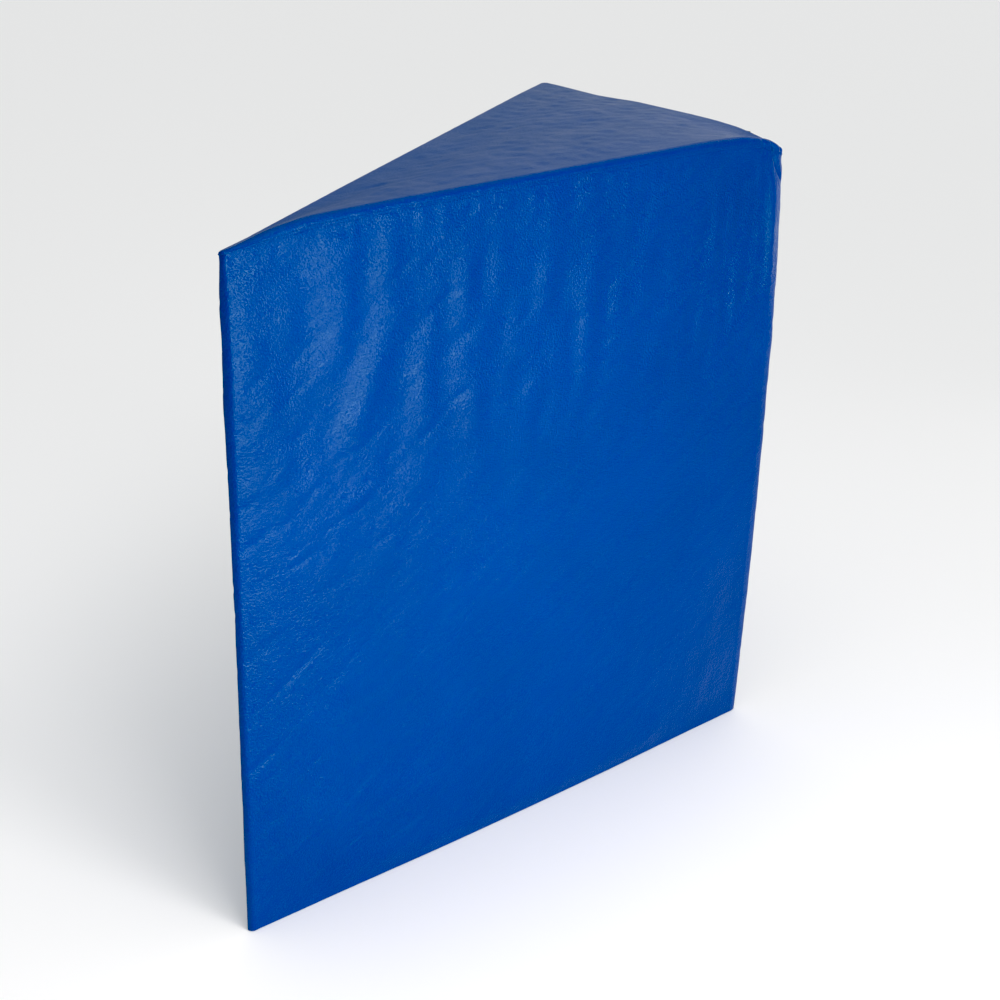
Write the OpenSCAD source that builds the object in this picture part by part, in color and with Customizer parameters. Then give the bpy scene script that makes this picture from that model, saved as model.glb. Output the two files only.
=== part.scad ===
// Incline wedge mat: a foam wedge in a sewn vinyl cover with a zip closure.
//
// The mat stands on one of its triangular sides, so its width runs upwards.
// X runs along the base from the toe to the tall end, Y from the base to the
// crest, and Z up. The origin is on the floor, in the middle of the mat's box.

/* [Mat] */
// Length of the base, from the toe to the tall end
mat_length = 610; // [480:10:900]
// Height of the tall end above the base
mat_height = 338; // [240:2:500]
// Width of the mat, which is its height while it stands on its side
mat_width = 610; // [400:10:900]

/* [Cover] */
// Thickness of the vinyl
vinyl_t = 1.2; // [0.6:0.1:1.6]
// Radius of the rounded toe edge
toe_r = 3.5; // [2.5:0.5:8]
// Radius of the rounded heel edge, between the base and the tall end
heel_r = 9; // [6:0.5:14]
// Radius of the rounded crest edge, at the top of the incline
crest_r = 8; // [6:0.5:14]
// How far a panel wraps over an edge before its seam, but for the lower side's at its edge
seam_wrap = 9; // [6:1:14]

/* [Stitching] */
// Thickness of the sewing thread
thread_t = 0.7; // [0.4:0.1:0.9]
// Distance from a panel's sewn edge to its row of stitches
stitch_inset = 2.2; // [1.5:0.1:3]

/* [Zip] */
// Distance from the base face to the middle of the zip
zip_offset = 60; // [50:5:120]
// Width of the gap between the two panel edges beside the zip
zip_reveal = 16; // [14:1:20]
// Distance from the end of the teeth to each side of the mat
chain_margin = 30; // [28:1:60]
// Width of one tape, from the teeth outwards
tape_w = 16; // [12:1:20]
// Thickness of the tape
tape_t = 0.6; // [0.4:0.1:0.8]
// Width across both rows of teeth
chain_w = 8.2; // [6:0.2:9]
// Thickness of the teeth
chain_t = 2.6; // [2:0.1:3]
// Length of the slider
slider_l = 15; // [13:0.5:18]
// Width of the slider at its wide end
slider_w = 12.4; // [11.6:0.2:13.6]
// Length of the pull tab, from its hinge pin
tab_l = 30; // [24:1:34]
// Width of the pull tab
tab_w = 9; // [8:0.5:11]

/* [Hidden] */
$fn = 48;

vinyl_blue = [0.01, 0.28, 0.64];
thread_blue = [0.02, 0.16, 0.42];
foam_cream = [0.93, 0.90, 0.78];
tape_black = [0.07, 0.07, 0.08];
metal_grey = [0.62, 0.63, 0.65];

// Steps in each rounded edge of the cover.
arc_steps = 10;
// Depth of the groove that a row of stitches pulls into the vinyl.
thread_depth = thread_t * 0.8;
// Least gap between the slider or its tab and what they pass.
clearance = 0.3;
// Slack between the foam and the cover.
cover_slack = 0.1;
// More than any cut needs, to reach past a face.
past = 1;

// Middles of the three rounded edges, as circles that the cover is drawn around.
toe_c = [-mat_length / 2 + toe_r, -mat_height / 2 + toe_r];
heel_c = [mat_length / 2 - heel_r, -mat_height / 2 + heel_r];
crest_c = [mat_length / 2 - crest_r, mat_height / 2 - crest_r];
span = crest_c - toe_c;
// Direction that the incline faces, and the direction that climbs it.
incline_out = atan2(span.y, span.x) + acos((toe_r - crest_r) / norm(span));
climb = [cos(incline_out - 90), sin(incline_out - 90)];

// Heights and depths of the zip, counted from the outer face of the tall end.
face_x = mat_length / 2;
zip_y = -mat_height / 2 + zip_offset;
hem_w = 14;
tape_x = face_x - 2 * vinyl_t;
teeth_x = tape_x + chain_t;
chain_low = chain_margin;
chain_high = mat_width - chain_margin;
stop_l = 5;
// Half of the gap between the two tapes, where the slider's post runs.
post_gap = 0.9;

// Plates of the slider: the inner one behind the tape, the outer one over the teeth.
plate_t = 1.1;
inner_plate_x = tape_x - tape_t - clearance - plate_t;
outer_plate_x = teeth_x + clearance;
outer_plate_top = outer_plate_x + plate_t;
flange_t = 1.1;
slider_narrow_w = slider_w - 1.2;
slider_z = chain_high - clearance - slider_l / 2;

// The pull tab's hinge pin lies under the slider's bridge.
pin_r = 0.7;
pin_x = outer_plate_top + clearance + pin_r;
bridge_t = 0.9;
bridge_w = 3;
bridge_l = 10;
bridge_under = pin_x + pin_r + clearance;
tab_t = 1.4;
tab_arm_w = 1.7;
tab_eye_l = 6.2;

// Height of the walls, from the floor to the seam below the upper side's rim.
wall_h = mat_width - seam_wrap;

// Points along an arc.
function arc(middle, r, from, to, steps = arc_steps) = [
    for (i = [0:steps])
        let (angle = from + (to - from) * i / steps)
            middle + r * [cos(angle), sin(angle)]
];

// Points on the straight faces, a distance past the rounded edge that they leave.
function on_incline(inset, distance) =
    toe_c + (toe_r - inset) * [cos(incline_out), sin(incline_out)] + distance * climb;
function on_tall_end(inset, y) = [face_x - inset, y];

// The three rounded edges at a depth below the cover's outer face, counter-clockwise.
function toe_arc(inset) = arc(toe_c, toe_r - inset, incline_out, 270);
function heel_arc(inset) = arc(heel_c, heel_r - inset, -90, 0);
function crest_arc(inset) = arc(crest_c, crest_r - inset, 0, incline_out);
function outline(inset) = concat(toe_arc(inset), heel_arc(inset), crest_arc(inset));

// Where the seams along the edges lie.
toe_seam = seam_wrap;
heel_seam_y = heel_c.y + seam_wrap;
crest_seam_y = crest_c.y - seam_wrap;

// The line of the lower side's stitches. Its toe corner is sharp where the row is
// further in than the middle of the toe's rounding.
toe_half = (incline_out - 90) / 2;
function under_line(inset) = concat(
    inset < toe_r
        ? toe_arc(inset)
        : [toe_c + (inset - toe_r) / sin(toe_half) * [cos(toe_half), sin(toe_half)]],
    heel_arc(inset),
    crest_arc(inset)
);

// The two ends of each panel's path round the mat, at a depth below its outer face.
function base_path(inset) = concat(
    [on_incline(inset, toe_seam)],
    toe_arc(inset),
    heel_arc(inset),
    [on_tall_end(inset, heel_seam_y)]
);
function incline_path(inset) = concat(
    [on_tall_end(inset, crest_seam_y)],
    crest_arc(inset),
    [on_incline(inset, toe_seam)]
);

function backwards(points) = [for (i = [len(points) - 1:-1:0]) points[i]];

// A strip of vinyl between two depths of the same path, from the floor up to the rim's seam.
module strip(outer_path, inner_path) {
    linear_extrude(wall_h)
        polygon(concat(outer_path, backwards(inner_path)));
}

// A thread along the mat's width. Its place is on the outer face, which it lies flush with.
module width_thread(place, facing) {
    translate([place.x, place.y, 0])
        rotate([0, 0, facing])
            translate([-thread_depth, -thread_t / 2, 0])
                cube([thread_depth, thread_t, wall_h]);
}

// The groove for that thread, which is open outwards.
module width_groove(place, facing) {
    translate([place.x, place.y, -past])
        rotate([0, 0, facing])
            translate([-thread_depth, -thread_t / 2, 0])
                cube([thread_depth + past, thread_t, mat_width]);
}

// A thread right round the mat, at a height above the floor.
module round_thread(height) {
    translate([0, 0, height - thread_t / 2])
        linear_extrude(thread_t)
            difference() {
                polygon(outline(0));
                polygon(outline(thread_depth));
            }
}

// A thread round the lower side panel, on the face that lies on the floor.
module under_thread() {
    linear_extrude(thread_depth)
        difference() {
            polygon(under_line(under_stitch));
            polygon(under_line(under_stitch + thread_t));
        }
}

// A box from one corner to the opposite one.
module block(low, high) {
    translate(low)
        cube(high - low);
}

toe_stitch = on_incline(0, toe_seam - stitch_inset);
heel_stitch = on_tall_end(0, heel_seam_y - stitch_inset);
crest_stitch = on_tall_end(0, crest_seam_y + stitch_inset);
zip_stitch_upper = on_tall_end(0, zip_y + zip_reveal / 2 + stitch_inset);
zip_stitch_lower = on_tall_end(0, zip_y - zip_reveal / 2 - stitch_inset);
side_stitch = mat_width - seam_wrap + stitch_inset;
under_stitch = vinyl_t + stitch_inset;

// Foam wedge, pressed in along the zip by the hems, the tapes and the slider.
module foam_core() {
    hem_reach = zip_reveal / 2 + hem_w;
    tape_reach = post_gap + tape_w;
    slider_reach = slider_w / 2 + clearance;
    inset = vinyl_t + cover_slack;
    color(foam_cream)
        difference() {
            translate([0, 0, inset])
                linear_extrude(mat_width - 2 * inset)
                    polygon(outline(inset));
            block([tape_x, zip_y - hem_reach, 0], [face_x, zip_y + hem_reach, mat_width]);
            block([tape_x - tape_t, zip_y - tape_reach, 0], [face_x, zip_y + tape_reach, mat_width]);
            block(
                [inner_plate_x - clearance, zip_y - slider_reach, chain_low - stop_l],
                [face_x, zip_y + slider_reach, chain_high + stop_l]
            );
        }
}

// Panel under the base. It turns round the toe and the heel to its seams.
module base_panel() {
    color(vinyl_blue)
        difference() {
            strip(base_path(0), base_path(vinyl_t));
            width_groove(toe_stitch, incline_out);
            width_groove(heel_stitch, 0);
        }
}

// Panel over the incline. It turns over the crest to its seam on the tall end.
module incline_panel() {
    color(vinyl_blue)
        difference() {
            strip(incline_path(0), incline_path(vinyl_t));
            width_groove(crest_stitch, 0);
        }
}

// One part of the tall end, from its seam to its hemmed edge beside the zip.
module tall_end_part(seam_y, side) {
    edge_y = zip_y + side * zip_reveal / 2;
    hem_y = edge_y + side * hem_w;
    block(
        [face_x - vinyl_t, min(seam_y, edge_y), 0],
        [face_x, max(seam_y, edge_y), wall_h]
    );
    block(
        [tape_x, min(hem_y, edge_y), vinyl_t],
        [face_x - vinyl_t, max(hem_y, edge_y), wall_h]
    );
}

// Large panel of the tall end, between the crest seam and the zip.
module tall_end_upper_panel() {
    color(vinyl_blue)
        difference() {
            tall_end_part(crest_seam_y, 1);
            width_groove(zip_stitch_upper, 0);
        }
}

// Narrow panel of the tall end, between the zip and the heel seam.
module tall_end_lower_panel() {
    color(vinyl_blue)
        difference() {
            tall_end_part(heel_seam_y, -1);
            width_groove(zip_stitch_lower, 0);
        }
}

// Upper triangular side panel. Its rim wraps over the edges down to the seam, and
// its row of stitches runs right round that rim.
module side_panel_top() {
    color(vinyl_blue)
        difference() {
            translate([0, 0, wall_h])
                linear_extrude(seam_wrap)
                    polygon(outline(0));
            translate([0, 0, wall_h - past])
                linear_extrude(seam_wrap + past - vinyl_t)
                    polygon(outline(vinyl_t));
            round_thread(side_stitch);
        }
}

// Lower triangular side panel, which the mat stands on, sewn in between the walls.
module side_panel_bottom() {
    color(vinyl_blue)
        difference() {
            linear_extrude(vinyl_t)
                polygon(outline(vinyl_t + cover_slack));
            under_thread();
        }
}

// One woven tape. Side is 1 above the zip's middle and -1 below it.
module zip_tape(side) {
    near = zip_y + side * post_gap;
    far = zip_y + side * (post_gap + tape_w);
    color(tape_black)
        block(
            [tape_x - tape_t, min(near, far), vinyl_t],
            [tape_x, max(near, far), mat_width - vinyl_t]
        );
}

module zip_tape_upper() {
    zip_tape(1);
}

module zip_tape_lower() {
    zip_tape(-1);
}

// One row of teeth, a nylon coil, as the bar of its outer shape.
module zip_teeth(side) {
    bar_w = chain_w / 2 - post_gap;
    edge_r = 0.6;
    color(tape_black)
        translate([tape_x, zip_y + side * (post_gap + bar_w / 2), chain_low])
            linear_extrude(chain_high - chain_low)
                polygon(concat(
                    [[0, bar_w / 2], [0, -bar_w / 2]],
                    arc([chain_t - edge_r, -bar_w / 2 + edge_r], edge_r, -90, 0),
                    arc([chain_t - edge_r, bar_w / 2 - edge_r], edge_r, 0, 90)
                ));
}

module zip_teeth_upper() {
    zip_teeth(1);
}

module zip_teeth_lower() {
    zip_teeth(-1);
}

// Two metal clips that stop the slider at the closed end, one on each tape.
module zip_top_stops() {
    color(metal_grey)
        for (side = [-1, 1])
            translate([tape_x, zip_y + side * (post_gap + chain_w / 2) / 2, chain_high + stop_l / 2])
                rotate([0, 90, 0])
                    linear_extrude(chain_t)
                        square([stop_l, chain_w / 2 - post_gap], center = true);
}

// Metal clip across both rows of teeth at the open end.
module zip_bottom_stop() {
    color(metal_grey)
        translate([tape_x, zip_y, chain_low - stop_l / 2])
            rotate([0, 90, 0])
                linear_extrude(chain_t)
                    square([stop_l, chain_w], center = true);
}

// Outline of the slider's plates, seen along -X with its narrow end at low Z.
module slider_plate() {
    corner = 2;
    wide = slider_w / 2 - corner;
    narrow = slider_narrow_w / 2 - corner;
    end = slider_l / 2 - corner;
    polygon(concat(
        arc([-narrow, -end], corner, 180, 270),
        arc([narrow, -end], corner, -90, 0),
        arc([wide, end], corner, 0, 90),
        arc([-wide, end], corner, 90, 180)
    ));
}

// Lays a drawing whose X is the row's Y and whose Y is the row's Z at a depth on the zip.
module on_zip(x, z, thickness) {
    translate([x, zip_y, z])
        rotate([90, 0, 90])
            linear_extrude(thickness)
                children();
}

// Slider: two plates joined by a post, side flanges, and the bridge that holds the tab.
module zip_slider() {
    flange_x = tape_x + clearance;
    post_l = 4;
    rise = bridge_under - outer_plate_top;
    channel = chain_w / 2 + clearance;
    color(metal_grey) {
        on_zip(inner_plate_x, slider_z, plate_t)
            slider_plate();
        on_zip(outer_plate_x, slider_z, plate_t)
            slider_plate();
        on_zip(inner_plate_x, slider_z, outer_plate_top - inner_plate_x)
            translate([0, slider_l / 2 - post_l])
                square([2 * (post_gap - clearance), post_l], center = true);
        on_zip(flange_x, slider_z, outer_plate_x - flange_x)
            difference() {
                slider_plate();
                square([2 * channel, 2 * slider_l], center = true);
            }
        for (end = [-1, 1])
            on_zip(outer_plate_top - past / 2, slider_z + end * (bridge_l - bridge_t) / 2, rise + past / 2)
                square([bridge_w, bridge_t], center = true);
        on_zip(bridge_under, slider_z, bridge_t)
            square([bridge_w, bridge_l], center = true);
    }
}

// Pull tab, hanging from its pin. The eye around the bridge is open at the middle.
module zip_pull_tab() {
    eye_w = bridge_w + 2 * clearance;
    tip_r = 2.5;
    head_w = eye_w + 2 * tab_arm_w;
    color(metal_grey) {
        on_zip(pin_x - tab_t / 2, slider_z, tab_t)
            difference() {
                polygon(concat(
                    arc([-tab_w / 2 + tip_r, -tab_l + tip_r], tip_r, 180, 270),
                    arc([tab_w / 2 - tip_r, -tab_l + tip_r], tip_r, -90, 0),
                    [[head_w / 2, pin_r / 2], [-head_w / 2, pin_r / 2]]
                ));
                translate([0, past - tab_eye_l / 2])
                    square([eye_w, tab_eye_l + past], center = true);
                translate([0, -tab_l + 2 * tip_r])
                    circle(d = 3);
            }
        translate([pin_x, zip_y, slider_z])
            rotate([90, 0, 0])
                cylinder(r = pin_r, h = head_w, center = true);
    }
}

module thread_side_bottom() {
    color(thread_blue)
        under_thread();
}

module thread_side_top() {
    color(thread_blue)
        round_thread(side_stitch);
}

module thread_toe() {
    color(thread_blue)
        width_thread(toe_stitch, incline_out);
}

module thread_heel() {
    color(thread_blue)
        width_thread(heel_stitch, 0);
}

module thread_crest() {
    color(thread_blue)
        width_thread(crest_stitch, 0);
}

module thread_zip_upper() {
    color(thread_blue)
        width_thread(zip_stitch_upper, 0);
}

module thread_zip_lower() {
    color(thread_blue)
        width_thread(zip_stitch_lower, 0);
}

foam_core();
base_panel();
incline_panel();
tall_end_upper_panel();
tall_end_lower_panel();
side_panel_top();
side_panel_bottom();
zip_tape_upper();
zip_tape_lower();
zip_teeth_upper();
zip_teeth_lower();
zip_top_stops();
zip_bottom_stop();
zip_slider();
zip_pull_tab();
thread_side_top();
thread_side_bottom();
thread_toe();
thread_heel();
thread_crest();
thread_zip_upper();
thread_zip_lower();
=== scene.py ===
"""Looks of an incline wedge mat: a foam wedge in a sewn vinyl cover with a zip.

Every wall of the cover is a grid over s, the distance round the mat, and z, the
height. s starts at the toe seam and runs along the base, up the tall end, over the
crest and down the incline. The triangular sides are grids over x and y with a rim.
"""

import math

import bmesh
import bpy
import numpy as np
from mathutils import Matrix, Vector
from mathutils.bvhtree import BVHTree
from mathutils.geometry import delaunay_2d_cdt


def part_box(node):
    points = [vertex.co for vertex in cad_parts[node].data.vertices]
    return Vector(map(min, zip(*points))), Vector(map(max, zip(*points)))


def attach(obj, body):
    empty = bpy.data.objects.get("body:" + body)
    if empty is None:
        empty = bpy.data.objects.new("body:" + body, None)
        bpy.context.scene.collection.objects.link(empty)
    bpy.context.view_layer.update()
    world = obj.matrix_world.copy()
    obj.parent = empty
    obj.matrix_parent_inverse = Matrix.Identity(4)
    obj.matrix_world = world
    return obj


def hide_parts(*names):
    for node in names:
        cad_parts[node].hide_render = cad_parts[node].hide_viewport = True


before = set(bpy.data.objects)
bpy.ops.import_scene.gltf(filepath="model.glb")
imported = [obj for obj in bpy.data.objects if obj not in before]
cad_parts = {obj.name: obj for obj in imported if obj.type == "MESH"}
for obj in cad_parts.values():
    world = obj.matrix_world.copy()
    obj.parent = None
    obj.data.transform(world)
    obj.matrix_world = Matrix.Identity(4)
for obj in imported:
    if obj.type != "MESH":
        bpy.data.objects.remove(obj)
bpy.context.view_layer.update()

MM = 0.001
BODY = "mat"

# ---------------------------------------------------------------- sizes

(LOW_X, LOW_Y, _), (HIGH_X, HIGH_Y, WIDTH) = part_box("side_panel_top")
LENGTH = HIGH_X - LOW_X
WALL_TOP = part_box("base_panel")[1][2]  # the seam under the upper side's rim
SEAM = WIDTH - WALL_TOP
ZIP_HIGH_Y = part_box("tall_end_upper_panel")[0][1]
ZIP_LOW_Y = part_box("tall_end_lower_panel")[1][1]
TOE_R = 3.5 * MM
HEEL_R = 9 * MM
CREST_R = 8 * MM
STITCH_INSET = 2.2 * MM  # from a panel's sewn edge to its stitches

toe_c = np.array([LOW_X + TOE_R, LOW_Y + TOE_R])
heel_c = np.array([HIGH_X - HEEL_R, LOW_Y + HEEL_R])
crest_c = np.array([HIGH_X - CREST_R, HIGH_Y - CREST_R])


def towards(angle):
    """The direction at an angle in degrees, or a row of them."""
    a = np.radians(angle)
    return np.stack([np.cos(a), np.sin(a)], axis=-1)


span = crest_c - toe_c
INCLINE_OUT = math.degrees(
    math.atan2(span[1], span[0]) + math.acos((TOE_R - CREST_R) / np.linalg.norm(span))
)
climb = towards(INCLINE_OUT - 90)


def make_outline(steps=24):
    """Distances round the mat, with the place and the outward angle at each."""
    start = toe_c + TOE_R * towards(INCLINE_OUT) + SEAM * climb
    places, angles = [start], [INCLINE_OUT]
    edges = (
        (toe_c, TOE_R, INCLINE_OUT, 270),
        (heel_c, HEEL_R, 270, 360),
        (crest_c, CREST_R, 360, 360 + INCLINE_OUT),
    )
    for middle, r, first, last in edges:
        for angle in np.linspace(first, last, steps + 1):
            places.append(middle + r * towards(angle))
            angles.append(angle)
    places.append(start)
    angles.append(360 + INCLINE_OUT)
    places = np.array(places)
    lengths = np.linalg.norm(np.diff(places, axis=0), axis=1)
    return np.concatenate([[0], np.cumsum(lengths)]), places, np.array(angles), steps


along, outline_places, outline_angles, STEPS = make_outline()
GIRTH = along[-1]
TOE_END = along[1 + STEPS]
HEEL_START = along[2 + STEPS]
HEEL_END = along[2 + 2 * STEPS]
CREST_START = along[3 + 2 * STEPS]
CREST_END = along[3 + 3 * STEPS]
TOE_MID = (along[1] + TOE_END) / 2
HEEL_MID = (HEEL_START + HEEL_END) / 2
CREST_MID = (CREST_START + CREST_END) / 2
HEEL_SEAM = HEEL_END + SEAM
CREST_SEAM = CREST_START - SEAM


def at_tall_end(y):
    """The distance round the mat at a place up the tall end."""
    return HEEL_END + y - heel_c[1]


ZIP_LOW = at_tall_end(ZIP_LOW_Y)
ZIP_HIGH = at_tall_end(ZIP_HIGH_Y)


def around(s):
    """The place in plan and the outward direction at a distance round the mat."""
    s = np.mod(s, GIRTH)
    x = np.interp(s, along, outline_places[:, 0])
    y = np.interp(s, along, outline_places[:, 1])
    return np.stack([x, y], axis=-1), towards(np.interp(s, along, outline_angles))


# ---------------------------------------------------------------- how the cover swells


def base_at(u):
    """The distance round the mat at u millimetres from the toe along the base."""
    return TOE_END + u * MM - TOE_R


def soft_curve(knots, blur):
    """A smooth closed curve through (distance, millimetres) knots, as a function."""
    knots = sorted((s % GIRTH, v) for s, v in knots)
    at = [s for s, _ in knots]
    values = [v * MM for _, v in knots]
    count = 4096
    grid = np.arange(count) * GIRTH / count
    line = np.interp(grid, at, values, period=GIRTH)
    waves = np.fft.rfftfreq(count, GIRTH / count)
    line = np.fft.irfft(np.fft.rfft(line) * np.exp(-2 * (math.pi * waves * blur) ** 2), count)
    return lambda s: np.interp(np.mod(s, GIRTH), grid, line, period=GIRTH)


# How far the upper rim stands above its flat height. The corners are drawn down and
# the rim swells between them.
crown = soft_curve(
    [
        (TOE_MID, -7.5),
        (base_at(25), -2.5),
        (base_at(50), 3.5),
        (base_at(80), 7.5),
        (base_at(160), 8.7),
        (base_at(300), 9),
        (base_at(515), 9.7),
        (base_at(560), 7.5),
        (base_at(590), 1),
        (HEEL_MID, -9.5),
        (HEEL_END + 12 * MM, -5.5),
        (HEEL_END + 30 * MM, -2),
        (HEEL_END + 50 * MM, 0.8),
        (HEEL_END + 80 * MM, 2.2),
        (HEEL_END + 110 * MM, 2.4),
        (HEEL_END + 190 * MM, 1.8),
        (HEEL_END + 215 * MM, 0.2),
        (HEEL_END + 245 * MM, -1.2),
        (HEEL_END + 300 * MM, -0.7),
        (CREST_MID, -0.8),
        (CREST_END + 60 * MM, -0.5),
        (CREST_END + 270 * MM, -2.4),
        (CREST_END + 480 * MM, -4.4),
        (CREST_END + 610 * MM, -6.2),
    ],
    5 * MM,
)
# Radius of the rounded edge between a side panel's face and its rim.
rim_radius = soft_curve(
    [
        (TOE_MID, 1.2),
        (TOE_END + 30 * MM, 5),
        (HEEL_START - 60 * MM, 5.5),
        (HEEL_MID, 3.6),
        (HEEL_END + 40 * MM, 5),
        (CREST_MID, 5),
        (CREST_END + 60 * MM, 5),
        (GIRTH - 30 * MM, 4.5),
    ],
    4 * MM,
)


# How far the upper seam is drawn up towards the rim, which is all the way at the toe.
seam_rise = soft_curve(
    [
        (TOE_MID, 6.2),
        (base_at(14), 6),
        (base_at(48), 0.6),
        (base_at(70), 0),
        (CREST_END, 0),
        (GIRTH - 40 * MM, 0.6),
        (GIRTH - 8 * MM, 5),
    ],
    4 * MM,
)


def near(value, middle, width):
    """A bell, 1 at the middle."""
    return np.exp(-(((value - middle) / width) ** 2))


def smooth(low, high, value):
    """0 below low, 1 above high, and a smooth step between."""
    t = np.clip((value - low) / (high - low), 0, 1)
    return t * t * (3 - 2 * t)


def waves(points, seed, count, longest, shortest, heading=None, spread=180):
    """Soft noise of about -1 to 1 at points in a plane, in metres.

    heading is the direction, in degrees, that the wrinkles run in.
    """
    r = np.random.default_rng(seed)
    total = np.zeros(len(points))
    for _ in range(count):
        size = longest * (shortest / longest) ** r.random()
        turn = r.uniform(0, 360) if heading is None else heading + 90 + spread * r.normal() / 2
        total += np.cos(points @ towards(turn) * 2 * math.pi / size + r.uniform(0, 2 * math.pi))
    return total * math.sqrt(2 / count)


def from_line(points, line):
    """How far each point is from a line of straight stretches, and how far along it."""
    line = np.array(line, float) * MM
    best = np.full(len(points), np.inf)
    share = np.zeros(len(points))
    steps = np.linalg.norm(np.diff(line, axis=0), axis=1)
    for i, (a, b) in enumerate(zip(line, line[1:])):
        d = b - a
        t = np.clip((points - a) @ d / (d @ d), 0, 1)
        away = np.linalg.norm(points - a - t[:, None] * d, axis=1)
        closer = away < best
        best[closer] = away[closer]
        share[closer] = (steps[:i].sum() + t[closer] * steps[i]) / steps.sum()
    return best, share


# Soft folds of the base panel, in millimetres from the toe and up from the floor:
# the fold's line, its height and its half width.
BASE_FOLDS = [
    ([(108, 606), (109, 580), (98, 530), (82, 468), (62, 411), (44, 370)], 3.2, 22),
    ([(160, 606), (164, 560), (158, 520), (134, 479), (112, 440), (84, 400), (56, 370)], 4.0, 20),
    ([(222, 606), (220, 574), (222, 540), (240, 499), (240, 460), (248, 410), (250, 360)], 3.5, 22),
    ([(320, 606), (322, 560), (314, 500)], 1.5, 17),
    ([(368, 604), (370, 540), (362, 490), (368, 430), (376, 360)], 2.8, 17),
    ([(430, 604), (436, 540), (428, 480)], 1.1, 18),
    ([(524, 600), (524, 560), (522, 509), (540, 411)], 1.3, 9),
    ([(546, 595), (544, 541), (548, 477), (572, 400)], 1.2, 9),
    ([(28, 670), (27, 598), (24, 560), (20, 500), (16, 440), (14, 330)], 1.7, 17),
    ([(62, 575), (60, 545), (50, 505)], 1.6, 13),
]
# Fine creases across the base panel, in the same terms: line, depth, half width.
BASE_CREASES = [
    ([(4, 320), (50, 345), (98, 363)], 0.4, 3.4),
    ([(110, 362), (132, 378), (155, 388)], 0.35, 3),
    ([(8, 262), (34, 276), (62, 288)], 0.3, 3),
    ([(206, 215), (230, 229), (254, 241)], 0.25, 3),
    ([(136, 285), (156, 300)], 0.25, 3),
    ([(262, 303), (300, 318)], 0.3, 3),
    ([(160, 453), (185, 469)], 0.3, 3),
    ([(6, 396), (24, 404)], 0.35, 2.6),
    ([(4, 522), (12, 525), (28, 523)], 0.6, 2.8),
    ([(20, 430), (60, 452)], 0.25, 3),
    ([(300, 392), (338, 415)], 0.25, 3.2),
    ([(420, 330), (452, 352)], 0.2, 3.2),
]


def raised(points, folds):
    """The height of folds at points in a plane, both in metres."""
    total = np.zeros(len(points))
    for line, height, half_width in folds:
        away, share = from_line(points, line)
        ends = smooth(0, 0.3, share) * (1 - smooth(0.6, 1, share))
        total += height * MM * ends * near(away, 0, half_width * MM)
    return total


def pillowed(z):
    """0 at the floor and the upper rim, 1 half way up."""
    return np.sin(math.pi * np.clip(z / WIDTH, 0, 1)) ** 0.7


BASE_BELLY = 3.4 * MM
BELLY_RUN = 24 * MM  # the belly grows over about this far from the toe
HEEL_BELLY = 2 * MM
FOOT_BELLY = 3.2 * MM
PLAIN_BELLY = 3 * MM
LOOSE = 0.6 * MM  # wide shallow waves
HANGING = 1.5 * MM  # folds that hang from the top seam


def base_swell(u, z):
    """How far the base panel stands out, before it is settled as cloth."""
    points = np.stack([u, z], axis=-1)
    pillow = BASE_BELLY * pillowed(z) * (1 - np.exp(-np.maximum(u, 0) / BELLY_RUN))
    middle = smooth(0, 0.25, z) * (1 - smooth(0.45, 0.6, z))
    heel_edge = HEEL_BELLY * near(u, LENGTH, 60 * MM) * middle
    loose = LOOSE * waves(points, 3, 14, 0.22, 0.09, 90, 14) * smooth(0.25, 0.5, z)
    return pillow + heel_edge + loose + raised(points, BASE_FOLDS)


def base_foot(s, z):
    """How far the base panel bellies out at the floor."""
    across = np.clip((s - TOE_END) / (HEEL_START - TOE_END), 0, 1)
    return FOOT_BELLY * np.sin(math.pi * across) * (1 - smooth(0.02, 0.4, z))


def plain_swell(seed):
    """The same for a wall that has no folds of its own: loose folds under its top seam."""

    def swell(u, z):
        points = np.stack([u, z], axis=-1)
        pillow = PLAIN_BELLY * pillowed(z)
        toe_end = GIRTH - TOE_END + TOE_R - u
        hanging = waves(points, seed, 16, 0.16, 0.05, 90, 16)
        hanging = hanging * smooth(0.3, 0.55, z) * smooth(0, 0.12, toe_end)
        low = waves(points, seed + 1, 12, 0.3, 0.12, 60, 50)
        return pillow + HANGING * hanging + LOOSE * low

    return swell


SIDE_FADE = 12 * MM  # a wall is flat at its upright seams and swells within this
END_FADE = 14 * MM  # the same at the rim and the floor
TOE_FADE = 28 * MM  # how much more gently it swells there beside the toe


def edge_fade(s, z, first, last):
    """0 at a wall's four seams, and 1 a little way inside them."""
    inside = np.minimum(s - first, last - s)
    reach = END_FADE + TOE_FADE * near(np.minimum(s, GIRTH - s), 0, 70 * MM)
    return smooth(0, SIDE_FADE, inside) * smooth(0, reach, np.minimum(z, WALL_TOP - z))


# Gathers in the upper heel corner, where the rim is drawn in.
HEEL_GATHERS = [
    ([(589, 624), (590, 607), (592, 599), (596, 589), (604, 578), (610, 566)], 2.0, 1.8),
    ([(601, 624), (603, 609), (605, 600), (606, 590)], 1.6, 1.8),
    ([(577, 620), (578, 606), (580, 590)], 0.8, 2.2),
    ([(616, 624), (615, 603), (618, 580)], 1.1, 2.2),
]

# Narrow ridges that run down from the gathers, beside the heel's edge.
HEEL_RIDGES = [
    ([(583, 606), (588, 588), (593, 570), (594, 530), (596, 450)], 2.4, 7),
    ([(574, 604), (575, 590), (576, 560)], 0.8, 4),
]


TOE_DRAW = 2.3 * MM
TOE_DRAW_WIDTH = 5.5 * MM


def toe_draw(s):
    """How far the cover is drawn in round the toe, at its upper edge."""
    return TOE_DRAW * near(s, TOE_MID, TOE_DRAW_WIDTH)


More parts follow.
